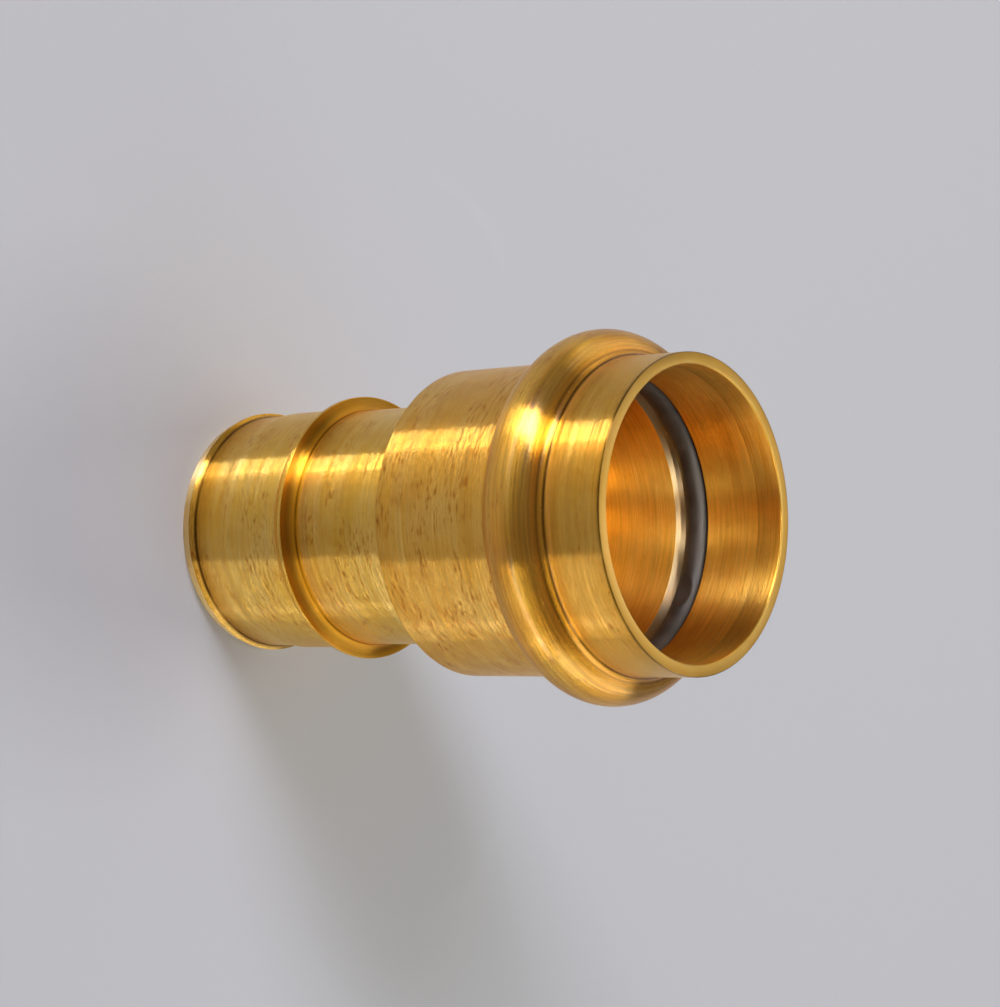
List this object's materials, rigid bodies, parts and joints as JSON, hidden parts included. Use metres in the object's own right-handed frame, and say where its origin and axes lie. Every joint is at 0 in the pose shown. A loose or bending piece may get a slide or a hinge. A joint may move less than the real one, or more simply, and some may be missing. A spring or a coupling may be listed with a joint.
{
  "type": "press adapter",
  "caption": "Brass pipe adapter with a beaded press socket for copper tube, a black sealing ring inside it, and a ribbed insert for expanded plastic pipe.",
  "frame": {"origin": "centre of the insert's end face, on which the adapter stands", "axes": "+Z along the axis, from the insert's end face to the rim of the tube socket"},
  "size_m": [0.037, 0.037, 0.0579],
  "materials": {
    "brass": "turned, satin, with lathe lines around the axis and a few red-brown stains",
    "seal_rubber": "smooth moulded black rubber, slightly glossy"
  },
  "bodies": {
    "root": {"adapter_body": "brass", "sealing_ring": "seal_rubber"}
  },
  "joints": []
}
